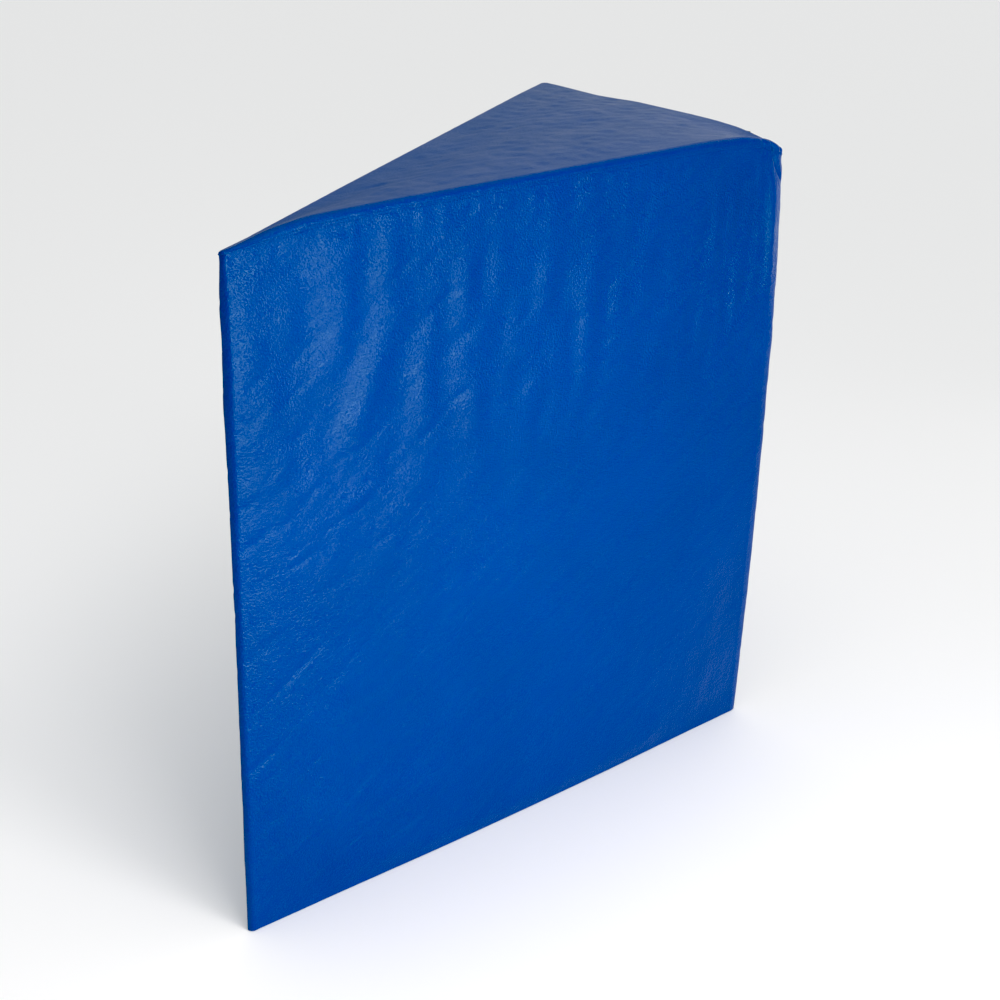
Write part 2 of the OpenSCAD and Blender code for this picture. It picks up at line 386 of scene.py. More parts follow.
def base_drawn(s, z):
    """The same for the base panel, which is drawn in less lower down."""
    upper = 0.5 * smooth(0.05, 0.3, z) + 0.5 * smooth(0.53, WALL_TOP, z)
    return toe_draw(s) * upper * smooth(0, 4 * MM, s)


# ---------------------------------------------------------------- walls

COARSE = 6 * MM
FINE = 2.3 * MM
CLOSEST = 0.8 * MM
HEEL_CLOSE = (HEEL_START - 14 * MM, HEEL_END + 3.2 * MM)  # the closest rows, for the gathers
FRAMES = 18
MOST_MOVE = 9 * MM
TOE_HELD = 22 * MM  # the cloth is pinned this far past the toe's rounding
HEEL_HELD = 32 * MM  # and this far either way from the middle of the heel's
SEAM_DEPTH = 0.15 * MM
# Down the rim below its rounding: share of the way to the seam, and the roll inwards in mm.
RIM_FOOT = ((0.3, 0), (0.55, 0), (0.75, 0), (0.88, 0.02), (0.95, 0.06), (1, 0.16), (1.02, 1.6))
FOOT_R = 1.6 * MM
TUCK = 1.7 * MM


def lift(s, z):
    """The height of a wall's point, which follows the swelling rim near the top."""
    share = np.clip(z / WALL_TOP, 0, 1)
    return z + crown(s) * share**5 + seam_rise(s) * share**12


def wall_points(s, z, out):
    """Points in the row frame for distances round, heights and distances out."""
    place, facing = around(s)
    return np.concatenate([place + facing * out[..., None], lift(s, z)[..., None]], axis=-1)


def linked(obj):
    """The object, once it is in the scene."""
    bpy.context.scene.collection.objects.link(obj)
    return obj


def placed(piece, name, material, body=BODY):
    """The piece in place of its CAD node, its body and its material."""
    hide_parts(name)
    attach(piece, body)
    piece.data.materials.append(material)
    return piece


def build(name, points, faces, uv=None):
    """A mesh object from points and faces, with one flat coordinate a point."""
    mesh = bpy.data.meshes.new(name)
    mesh.from_pydata([], [], [])
    mesh.vertices.add(len(points))
    mesh.vertices.foreach_set("co", np.ascontiguousarray(points, np.float32).ravel())
    faces = [np.asarray(f) for f in faces]
    corners = np.concatenate([f.ravel() for f in faces])
    totals = np.concatenate([np.full(len(f), f.shape[1]) for f in faces])
    mesh.loops.add(len(corners))
    mesh.loops.foreach_set("vertex_index", corners.astype(np.int32))
    mesh.polygons.add(len(totals))
    starts = np.concatenate([[0], np.cumsum(totals)[:-1]])
    mesh.polygons.foreach_set("loop_start", starts.astype(np.int32))
    mesh.update(calc_edges=True)
    mesh.validate()
    mesh.shade_smooth()
    if uv is not None:
        layer = mesh.uv_layers.new(name="flat")
        layer.data.foreach_set("uv", np.ascontiguousarray(uv[corners], np.float32).ravel())
    return linked(bpy.data.objects.new(name, mesh))


def grid_faces(rows, columns, close=False):
    """Quads over a grid of points, rows by columns. close joins the last row to the first."""
    i, j = np.meshgrid(np.arange(rows if close else rows - 1), np.arange(columns - 1), indexing="ij")
    n = (i + 1) % rows
    here, there = i * columns + j, n * columns + j
    quads = np.stack([here, there, there + 1, here + 1], axis=-1)
    return quads.reshape(-1, 4)


def even(first, last, step):
    return np.linspace(first, last, max(3, round((last - first) / step) + 1))


def settle(name, points, pinned):
    """Lets a coarse grid of the wall hang as cloth over the foam, and gives its new points."""
    rows, columns = points.shape[:2]
    cloth = build(name, points.reshape(-1, 3), [grid_faces(rows, columns)])
    group = cloth.vertex_groups.new(name="sewn")
    group.add([int(i) for i in np.flatnonzero(pinned.ravel())], 1.0, "REPLACE")
    modifier = cloth.modifiers.new("Cloth", "CLOTH")
    stuff = modifier.settings
    stuff.quality = 5
    stuff.mass = 0.05
    stuff.tension_stiffness = 25
    stuff.compression_stiffness = 25
    stuff.shear_stiffness = 8
    stuff.bending_stiffness = 2.0
    stuff.air_damping = 3
    stuff.vertex_group_mass = "sewn"
    modifier.collision_settings.distance_min = 0.5 * MM
    modifier.collision_settings.collision_quality = 2
    modifier.point_cache.frame_start = 1
    modifier.point_cache.frame_end = FRAMES
    scene = bpy.context.scene
    for step in range(1, FRAMES + 1):
        scene.frame_set(step)
    hung = cloth.evaluated_get(bpy.context.evaluated_depsgraph_get())
    new = np.zeros(rows * columns * 3, np.float32)
    hung.data.vertices.foreach_get("co", new)
    bpy.data.objects.remove(cloth)
    scene.frame_set(1)
    moved = calmed(new.reshape(points.shape) - points, 2)
    far = np.linalg.norm(moved, axis=-1, keepdims=True)
    return points + moved * np.minimum(1, MOST_MOVE / np.maximum(far, 1e-9))


def calmed(grid, times):
    """A grid of vectors with its finest ripples averaged away."""
    for _ in range(times):
        for axis in (0, 1):
            wide = np.pad(grid, [(1, 1) if a == axis else (0, 0) for a in range(3)], mode="edge")
            low, high = (np.take(wide, np.arange(grid.shape[axis]) + k, axis=axis) for k in (0, 2))
            grid = 0.5 * grid + 0.25 * (low + high)
    return grid


CLOTH_GAP = 2.5 * MM


def foam_block():
    """The foam as the cloth meets it, a little inside the cover."""
    s = even(0, GIRTH, 12 * MM)[:-1]
    place, facing = around(s)
    inner = place - facing * CLOTH_GAP
    heights = np.array([0, WIDTH])
    points = np.stack([np.column_stack([inner, np.full(len(s), h)]) for h in heights], axis=1)
    count = len(s)
    caps = [np.arange(count)[None, :] * 2 + 1, (np.arange(count)[::-1])[None, :] * 2]
    foam = build("foam_for_cloth", points.reshape(-1, 3), [grid_faces(count, 2, close=True), *caps])
    foam.modifiers.new("Collision", "COLLISION")
    foam.collision.thickness_outer = 0.5 * MM
    foam.collision.cloth_friction = 20
    return foam


def between(grid, rows, columns):
    """A coarse grid of points at finer places, given in its own steps, by smooth cubics."""
    for axis, at in ((0, rows), (1, columns)):
        last = grid.shape[axis] - 1
        i = np.clip(np.floor(at).astype(int), 0, last - 1)
        t = (at - i).reshape([-1 if a == axis else 1 for a in range(3)])
        p = [np.take(grid, np.clip(i + k, 0, last), axis=axis) for k in (-1, 0, 1, 2)]
        a = -0.5 * p[0] + 1.5 * p[1] - 1.5 * p[2] + 0.5 * p[3]
        b = p[0] - 2.5 * p[1] + 2 * p[2] - 0.5 * p[3]
        grid = ((a * t + b) * t + 0.5 * (p[2] - p[0])) * t + p[1]
    return grid


def with_edges(first, last, step):
    """Places from first to last, close together beside both ends for the rolled seams."""
    near_edge = np.array([0, 0.25, 0.5, 0.8, 1.2, 1.7, 2.3, 3.2]) * MM
    middle = even(first + 5 * MM, last - 5 * MM, step)
    return np.concatenate([first + near_edge, middle, (last - near_edge)[::-1]])


def seam_dive(away):
    """How deep the vinyl rolls in at a seam, from the distance to the seam."""
    return SEAM_DEPTH * np.exp(-((away / (0.9 * MM)) ** 1.3))


def foot_dive(z):
    """How far the vinyl rolls under at the floor."""
    t = np.clip(1 - z / FOOT_R, 0, 1)
    return FOOT_R * (1 - np.sqrt(1 - t * t))


def grid_normals(points):
    """Outward directions over a grid of points."""
    n = np.cross(np.gradient(points, axis=0), np.gradient(points, axis=1))
    return n / np.maximum(np.linalg.norm(n, axis=-1, keepdims=True), 1e-12)


def bordered(grid):
    """The grid with its outermost points repeated once all round it."""
    return np.pad(grid, ((1, 1), (1, 1), (0, 0)), mode="edge")


def tucked(points, normals, depth):
    """The grid with one more row of points all round it, tucked in under the panel."""
    points, normals = bordered(points), bordered(normals)
    edge = np.ones(points.shape[:2], bool)
    edge[1:-1, 1:-1] = False
    return np.where(edge[..., None], points - normals * depth, points)


def wall(name, first, last, swell, wrinkle, hem=None, foot=None, drawn=None, close=None):
    """One panel of the cover between two seams, as a settled and creased sheet.

    hem fades the swelling beside a zip, foot is the belly at the floor, drawn is how far
    the panel is drawn in, and close is a stretch of s that gets closer rows.
    """
    s_c = even(first, last, COARSE)
    z_c = even(0, WALL_TOP, COARSE)
    s, z = np.meshgrid(s_c, z_c, indexing="ij")
    shape = s.shape
    s, z = s.ravel(), z.ravel()
    out = swell(s - TOE_END + TOE_R, z) * edge_fade(s, z, first, last)
    if hem is not None:
        out = out * hem(s)
    if foot is not None:
        out = out + foot(s, z)
    points = wall_points(s, z, out).reshape(*shape, 3)
    at_toe = np.minimum(s, GIRTH - s) < TOE_END + TOE_HELD
    held = at_toe | (np.abs(s - HEEL_MID) < HEEL_HELD)
    pinned = held | (edge_fade(s, z, first, last) < 0.2)
    if hem is not None:
        pinned |= hem(s) < 0.5
    points = settle(name + "_cloth", points, pinned.reshape(shape))
    s_f = with_edges(first, last, FINE)
    if close is not None:
        s_f = np.concatenate([s_f[s_f < close[0]], even(*close, CLOSEST), s_f[s_f > close[1]]])
    z_f = with_edges(0, WALL_TOP, FINE)
    points = between(
        points,
        (s_f - first) / (last - first) * (shape[0] - 1),
        z_f / WALL_TOP * (shape[1] - 1),
    )
    s, z = np.meshgrid(s_f, z_f, indexing="ij")
    sewn = np.minimum(np.minimum(s - first, last - s), WALL_TOP - z)
    normals = grid_normals(points)
    fine = wrinkle(s.ravel() - TOE_END + TOE_R, z.ravel()).reshape(s.shape)
    fine = fine * smooth(0, 5 * MM, np.minimum(sewn, z)) - seam_dive(sewn) - foot_dive(z)
    if drawn is not None:
        fine = fine - drawn(s, z)
    points = points + normals * fine[..., None]
    points = tucked(points, normals, TUCK)
    flat = bordered(np.stack([s, z], axis=-1))
    faces = [grid_faces(*points.shape[:2])]
    panel = build(name + "_vinyl", points.reshape(-1, 3), faces, flat.reshape(-1, 2))
    placed(panel, name, vinyl)
    return panel


# Heights of the fine relief.
PUCKER = 0.2 * MM
CREASE = 0.32 * MM
CRUMPLE = 0.04 * MM
MOTTLE = 0.26 * MM
HEEL_RIPPLE = 0.22 * MM
PLAIN_CREASE = 0.2 * MM
PLAIN_CRUMPLE = 0.05 * MM


def puckers(s, z, seed):
    """Small gathers under the upper seam."""
    points = np.stack([s, z], axis=-1)
    ripple = waves(points, seed, 14, 0.034, 0.012, 90, 12)
    return PUCKER * ripple * near(z, WALL_TOP, 16 * MM)


def base_wrinkle(u, z):
    """Fine relief of the base panel: gathers at its seams, creases, and a light crumple."""
    points = np.stack([u, z], axis=-1)
    upper = smooth(0.2, 0.5, z)
    slanted = waves(points, 11, 22, 0.05, 0.014, 28, 24)
    slanted = -np.maximum(0, slanted - 0.9) * CREASE * (0.6 + 0.4 * upper)
    slanted = slanted * (0.7 + 0.8 * near(u, 0, 0.3))
    crumple = CRUMPLE * waves(points, 12, 30, 0.03, 0.010)
    mottle = MOTTLE * waves(points, 13, 30, 0.075, 0.028, 70, 60) * (0.35 + 0.65 * upper)
    heel_gathers = HEEL_RIPPLE * waves(points, 14, 12, 0.045, 0.018, 84, 10)
    heel_gathers = heel_gathers * near(u, 0.56, 0.06) * smooth(0.3, 0.55, z)
    dents = raised(points, BASE_CREASES) + raised(points, HEEL_GATHERS)
    ridges = raised(points, HEEL_RIDGES)
    return puckers(u, z, 10) + slanted + crumple + mottle + heel_gathers + ridges - dents


def plain_wrinkle(seed):
    def wrinkle(u, z):
        points = np.stack([u, z], axis=-1)
        slanted = waves(points, seed, 22, 0.06, 0.015, 20, 30)
        slanted = -np.maximum(0, slanted - 0.9) * PLAIN_CREASE
        crumple = PLAIN_CRUMPLE * waves(points, seed + 2, 30, 0.03, 0.010)
        return puckers(u, z, seed + 1) + slanted + crumple

    return wrinkle


def flat_swell(u, z):
    return 0 * u


def beside_zip(edge):
    """0 at the edge beside the zip, where the panel is sewn down flat, and 1 well away."""
    return lambda s: smooth(6 * MM, 40 * MM, np.abs(s - edge))


# ---------------------------------------------------------------- triangular sides

SIDE_STEP = 3.4 * MM
RIM_STEP = 1.1 * MM
RIM_PROUD = 0.06 * MM  # the rim's seam lies over the walls
UNDER_INSET = 1.2 * MM  # the lower side lies between the walls
UNDER_HEIGHT = 0.7 * MM


def to_edges(points):
    """For each straight edge, how far inside it points in plan are, and the distance
    round the mat of the nearest place on it."""
    out = towards(INCLINE_OUT)
    on_line = toe_c + TOE_R * out
    up = (points - on_line) @ climb
    return [
        (points[:, 1] - LOW_Y, np.clip(TOE_END + points[:, 0] - toe_c[0], TOE_MID, HEEL_MID)),
        (HIGH_X - points[:, 0], np.clip(at_tall_end(points[:, 1]), HEEL_MID, CREST_MID)),
        ((on_line - points) @ out, np.clip(CREST_END + np.linalg.norm(span) - up, CREST_MID, GIRTH)),
    ]


def side_swell(points):
    """How far the upper side's face stands above the flat, from its rim inwards."""
    total, weight = 0, 0
    edges = to_edges(points)
    for away, s in edges:
        w = 1 / np.maximum(away, 0.5 * MM) ** 1.6
        total, weight = total + w * crown(s), weight + w
    nearest = np.min([away for away, _ in edges], axis=0)
    return total / weight + 2 * MM * smooth(0, 90 * MM, nearest), nearest


def filled(edge, inset, step):
    """Points in plan over the shape inside a closed edge, their triangles, and which of
    the points are the edge's own. inset is how far the edge lies inside the faces, and
    the points are in rows that are half a step out of line."""
    grid = []
    for i, y in enumerate(np.arange(LOW_Y, HIGH_Y, step * 0.866)):
        for x in np.arange(LOW_X + (i % 2) * step / 2, HIGH_X, step):
            grid.append((x, y))
    grid = np.array(grid)
    depth = [away - inset(s) for away, s in to_edges(grid)]
    grid = grid[np.min(depth, axis=0) > 0.55 * step]
    count = len(edge)
    plan = [tuple(p) for p in np.concatenate([edge, grid])]
    loop = [(i, (i + 1) % count) for i in range(count)]
    points, _, triangles, sources, _, _ = delaunay_2d_cdt(plan, loop, [], 1, 1e-7)
    points = np.array([tuple(p) for p in points])
    triangles = np.array([f for f in triangles if len(f) == 3])
    at = {}
    for new, olds in enumerate(sources):
        for old in olds:
            at.setdefault(old, new)
    ring = np.array([at[i] for i in range(count)])
    used = np.unique(triangles)
    renumbered = np.full(len(points), -1)
    renumbered[used] = np.arange(len(used))
    return points[used], renumbered[triangles], renumbered[ring]


def joined_rings(lines, faces):
    """Quads between one ring of points and the next, added to faces."""
    for a, b in zip(lines, lines[1:]):
        faces.append(np.stack([a, b, np.roll(b, -1), np.roll(a, -1)], axis=-1))
    return faces


def side_panel_piece(name, points, faces, flat):
    """A side panel in place of its CAD node."""
    panel = placed(build(name + "_vinyl", points, faces, flat), name, vinyl)
    return panel


def around_steps(corner_step, step):
    """Distances round the mat, close together at the rounded edges."""
    corners = [0, TOE_END, HEEL_START, HEEL_END, CREST_START, CREST_END, GIRTH]
    steps = [corner_step, step] * 3
    return np.concatenate([even(a, b, d)[:-1] for a, b, d in zip(corners, corners[1:], steps)])


def upper_side():
    """The upper side panel, with its rounded rim down to the seam over the walls."""
    s = around_steps(0.9 * MM, RIM_STEP)
    count = len(s)
    place, facing = around(s)
    place = place - facing * toe_draw(s)[:, None]
    r = rim_radius(s)
    rise = crown(s)
    edge = place - facing * r[:, None]
    plan, triangles, ring = filled(edge, lambda at: rim_radius(at) + toe_draw(at), SIDE_STEP)
    swell, nearest = side_swell(plan)
    crumple = waves(plan, 21, 40, 0.045, 0.014) + 0.6 * waves(plan, 22, 20, 0.12, 0.05, 15, 40)
    creases = np.maximum(0, waves(plan, 23, 26, 0.07, 0.02, 10, 60) - 0.8)
    fine = (0.15 * crumple - 0.38 * creases) * MM * smooth(4 * MM, 25 * MM, nearest)
    face = np.column_stack([plan, swell + fine])
    face[ring, 2] = rise
    layers = []
    for turn in np.radians([12, 24, 36, 48, 60, 70, 80, 90]):
        inward = r * (1 - math.sin(turn)) - RIM_PROUD * math.sin(turn)
        layers.append((-inward, rise - r * (1 - math.cos(turn))))
    foot = rise + seam_rise(s) - SEAM
    for share, dive in RIM_FOOT:
        layers.append((RIM_PROUD - dive * MM, rise - r + (foot - rise + r) * share))
    u = s - TOE_END + TOE_R
    rings = []
    for k, (out, height) in enumerate(layers):
        strength = math.sin(math.pi * (k + 1) / (len(layers) + 1))
        on_rim = np.column_stack([u, WIDTH + height - rise])
        gathers = rim_gathers(s) * strength - raised(on_rim, HEEL_GATHERS)
        rings.append(np.column_stack([place + facing * (out + gathers)[:, None], height]))
    points = np.concatenate([face, *rings])
    points[:, 2] += WIDTH
    lines = [ring] + [len(face) + k * count + np.arange(count) for k in range(len(rings))]
    steps = [2 * MM * (k + 1) for k in range(len(rings))]
    flat = np.concatenate([plan, *[place + facing * d for d in steps]])
    return side_panel_piece("side_panel_top", points, joined_rings(lines, [triangles]), flat)


def lower_side():
    """The lower side panel, which lies on the floor between the walls."""
    s = around_steps(1.5 * MM, 4 * MM)
    place, facing = around(s)
    edge = place - facing * UNDER_INSET
    plan, triangles, ring = filled(edge, lambda at: UNDER_INSET + 0 * at, 7 * MM)
    nearest = np.min([away for away, _ in to_edges(plan)], axis=0)
    sag = 0.25 * MM * (1 + waves(plan, 26, 20, 0.12, 0.04)) * smooth(5 * MM, 30 * MM, nearest)
    face = np.column_stack([plan, UNDER_HEIGHT + np.maximum(0, sag)])
    inner = np.column_stack([edge, np.full(len(s), UNDER_HEIGHT + 1.5 * MM)])
    points = np.concatenate([face, inner])
    lines = [ring, len(face) + np.arange(len(s))]
    faces = [f[:, ::-1] for f in joined_rings(lines, [triangles])]
    flat = np.concatenate([plan, edge + facing * MM])
    return side_panel_piece("side_panel_bottom", points, faces, flat)


def rim_gathers(s):
    """Small gathers of the rim, stronger at the heel and the crest corners."""
    points = np.stack([s, np.zeros(len(s))], axis=-1)
    ripple = waves(points, 31, 10, 0.03, 0.012, 90, 4)
    corner = near(s, HEEL_MID, 20 * MM) + 0.6 * near(s, CREST_MID, 18 * MM)
    return MM * ripple * (0.10 + 0.25 * corner)


# ---------------------------------------------------------------- foam


def foam_wedge():
    """The foam inside the cover, eased at its edges and a little smaller than the CAD
    foam, so that the cover can dip at its corners."""
    gap, r = 6 * MM, 7 * MM
    half = math.radians((INCLINE_OUT - 90) / 2)
    toe = toe_c + (gap + r - TOE_R) / math.sin(half) * towards(math.degrees(half))
    heel = heel_c + (gap + r - HEEL_R) * np.array([-1, 1])
    lean = math.radians(INCLINE_OUT / 2)
    crest = crest_c - (gap + r - CREST_R) / math.cos(lean) * towards(math.degrees(lean))
    corners = ((toe, INCLINE_OUT, 270), (heel, 270, 360), (crest, 360, 360 + INCLINE_OUT))
    rings = []
    profile = [(5, 0), (1.5, 1.5), (0, 5), (0, -5), (1.5, -1.5), (5, 0)]
    for k, (inward, up) in enumerate(profile):
        height = (3 * MM if k < 3 else WIDTH - 16 * MM) + up * MM
        line = [m + (r - inward * MM) * towards(np.linspace(a, b, 7)) for m, a, b in corners]
        line = np.concatenate(line)
        rings.append(np.column_stack([line, np.full(len(line), height)]))
    count = len(rings[0])
    faces = [(np.arange(count) + (len(rings) - 1) * count)[None, :], np.arange(count)[::-1][None, :]]
    lines = [k * count + np.arange(count) for k in range(len(rings))]
    wedge = build("foam_wedge", np.concatenate(rings), joined_rings(lines[::-1], faces))
    placed(wedge, "foam_core", cream_foam)
    return wedge


# ---------------------------------------------------------------- stitches

THREAD_R = 0.34 * MM
PITCH = 3.3 * MM
STITCH = 2.5 * MM
# Along one stitch: share of its length, height over the vinyl in mm, share of thickness.
STITCH_SHAPE = [(0, -0.3, 0.6), (0.18, 0.1, 1), (0.5, 0.2, 1), (0.82, 0.1, 1), (1, -0.3, 0.6)]
SIDES = 6


def stitched(name, line, panel):
    """A row of separate stitches laid on a panel along a line of points near it."""
    tree = BVHTree.FromObject(panel, bpy.context.evaluated_depsgraph_get())
    lengths = np.linalg.norm(np.diff(line, axis=0), axis=1)
    at = np.concatenate([[0], np.cumsum(lengths)])
    count = int((at[-1] - STITCH) // PITCH)
    jitter = np.random.default_rng(len(name)).normal(0, 0.12 * MM, count)
    ends = np.array([share for share, _, _ in STITCH_SHAPE])
    turns = np.arange(SIDES) * 2 * math.pi / SIDES
    points = []
    for k in range(count):
        places = PITCH * (k + 0.4) + jitter[k] + ends * STITCH
        middle = np.column_stack([np.interp(places, at, line[:, i]) for i in range(3)])
        found = [tree.find_nearest(tuple(p)) for p in middle]
        middle = np.array([tuple(f[0]) for f in found])
        up = np.mean([tuple(f[1]) for f in found], axis=0)
        across = np.cross(middle[-1] - middle[0], up)
        across /= np.linalg.norm(across)
        for p, (_, height, thick) in zip(middle, STITCH_SHAPE):
            for turn in turns:
                r = THREAD_R * thick
                points.append(p + up * (height * MM + r * math.sin(turn)) + across * r * math.cos(turn))
    shape = []
    rings = len(STITCH_SHAPE)
    for i in range(rings - 1):
        for j in range(SIDES):
            n = (j + 1) % SIDES
            shape.append([i * SIDES + j, i * SIDES + n, (i + 1) * SIDES + n, (i + 1) * SIDES + j])
    caps = [list(range(SIDES))[::-1], [(rings - 1) * SIDES + j for j in range(SIDES)]]
    first = np.arange(count)[:, None, None] * rings * SIDES
    quads = (first + np.array(shape)[None]).reshape(-1, 4)
    ends = (first + np.array(caps)[None]).reshape(-1, SIDES)
    row = build(name + "_stitches", np.array(points), [quads, ends])
    return placed(row, name, thread)


def upright_line(s):
    """A line up a wall at one distance round the mat."""
    z = even(3 * MM, WALL_TOP - 2 * MM, 2 * MM)
    return wall_points(np.full(len(z), s), z, np.zeros(len(z)))


def side_line(inset=0.0, height=None):
    """A closed line round the mat, on its rim or under it."""
    s = np.append(around_steps(1 * MM, 3 * MM), GIRTH)
    place, facing = around(s)
    if height is None:
        z = WALL_TOP + crown(s) + seam_rise(s) + STITCH_INSET * (1 - seam_rise(s) / SEAM)
    else:
        z = np.full(len(s), height)
    return np.column_stack([place - facing * inset, z])


# ---------------------------------------------------------------- zip

WIRE_R = 0.36 * MM
COIL_PITCH = 1.5 * MM


def coil(name):
    """One side of the zip's nylon coil, inside its CAD bar."""
    low, high = (np.array(c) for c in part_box(name))
    middle, half = (low + high) / 2, (high - low) / 2
    loops = int(2 * half[2] // COIL_PITCH)
    turn = np.linspace(0, loops * 2 * math.pi, loops * 12 + 1)
    c, n = np.cos(turn), np.sin(turn)
    squared = (c**4 + n**4) ** -0.25
    x = middle[0] + (half[0] - WIRE_R) * c * squared
    y = middle[1] + (half[1] - WIRE_R) * n * squared * (1 if "upper" in name else -1)
    z = low[2] + WIRE_R + (2 * half[2] - 2 * WIRE_R) * turn / turn[-1]
    line = np.column_stack([x, y, z])
    along_line = np.gradient(line, axis=0)
    along_line /= np.linalg.norm(along_line, axis=1, keepdims=True)
    side = np.cross(along_line, [0, 0, 1.0])
    side /= np.linalg.norm(side, axis=1, keepdims=True)
    over = np.cross(side, along_line)
    sides = 5
    points = []
    for k in range(sides):
        a = 2 * math.pi * k / sides
        points.append(line + WIRE_R * (math.cos(a) * side + math.sin(a) * over))
    points = np.stack(points, axis=0)
    points = np.concatenate([points, points[:1]])
    row = build(name + "_coil", points.reshape(-1, 3), [grid_faces(*points.shape[:2])[:, ::-1]])
    return placed(row, name, nylon)


def tape(name):
    """One woven tape of the zip: a thin strip with rounded edges and a fine rib."""
    low, high = (np.array(c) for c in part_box(name))
    middle, half = (low + high) / 2, (high - low) / 2
    z = even(low[2], high[2], 1.6 * MM)
    across = np.linspace(-1, 1, 30)
    rib = 0.05 * MM * np.cos(np.arange(30) * math.pi)
    thick = half[0] * np.clip(1 - across**16, 0, 1) ** 0.5
    front = np.column_stack([thick - 0.06 * MM + rib, across * half[1]])
    back = np.column_stack([-thick, across * half[1]])[::-1]
    loop = np.concatenate([front, back[1:-1]])
    fray = 0.12 * MM * waves(np.column_stack([z, 0 * z]), 61, 20, 0.02, 0.005, 90, 4)
    rows = []
    for d in loop:
        far = 1 + 0 * z if abs(d[1]) < 0.9 * half[1] else 1 + fray / half[1] - 0.02
        rows.append(np.column_stack([middle[0] + d[0] + 0 * z, middle[1] + d[1] * far, z]))
    points = np.stack(rows)
    faces = grid_faces(*points.shape[:2], close=True)
    strip = placed(build(name + "_woven", points.reshape(-1, 3), [faces]), name, woven)
    return strip


def eased(name, body, width):
    """A metal part as in the CAD, with its edges eased."""
    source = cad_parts[name]
    shape = bmesh.new()
    shape.from_mesh(source.data)
    bmesh.ops.remove_doubles(shape, verts=shape.verts, dist=0.002 * MM)
    bmesh.ops.dissolve_limit(shape, angle_limit=math.radians(1), verts=shape.verts, edges=shape.edges)
    sharp = [e for e in shape.edges if len(e.link_faces) == 2 and e.calc_face_angle() > math.radians(30)]
    bmesh.ops.bevel(
        shape,
        geom=sharp,
        offset=width,
        segments=2,
        profile=0.5,
        affect="EDGES",
        clamp_overlap=True,
    )
    mesh = bpy.data.meshes.new(name + "_metal")
    shape.to_mesh(mesh)
    shape.free()
    mesh.shade_smooth()
    piece = linked(bpy.data.objects.new(name + "_metal", mesh))
    return placed(piece, name, metal, body)


# ---------------------------------------------------------------- materials


def new_material(name):
    m = bpy.data.materials.new(name)
    m.use_nodes = True
    nodes, links = m.node_tree.nodes, m.node_tree.links
    return m, nodes, links, nodes["Principled BSDF"]


def node(nodes, kind, **inputs):
    """A shader node with some of its inputs set, by name."""
    n = nodes.new(kind)
    for key, value in inputs.items():
        n.inputs[key.replace("_", " ")].default_value = value
    return n


def mix_colour(nodes, links, share, a, b):
    """A blend of two colours or colour outputs by a value output."""
    m = nodes.new("ShaderNodeMix")
    m.data_type = "RGBA"
    links.new(share, m.inputs[0])
    for index, value in ((6, a), (7, b)):
        if isinstance(value, bpy.types.NodeSocket):
            links.new(value, m.inputs[index])
        else:
            m.inputs[index].default_value = (*value, 1)
    return m.outputs[2]


def ranged(nodes, links, value, low, high, to_low, to_high):
    n = nodes.new("ShaderNodeMapRange")
    links.new(value, n.inputs[0])
    for i, v in enumerate((low, high, to_low, to_high), 1):
        n.inputs[i].default_value = v
    return n.outputs[0]


def bumped(nodes, links, height, strength, distance, before=None):
    b = nodes.new("ShaderNodeBump")
    b.inputs["Strength"].default_value = strength
    b.inputs["Distance"].default_value = distance
    links.new(height, b.inputs["Height"])
    if before is not None:
        links.new(before, b.inputs["Normal"])
    return b.outputs[0]


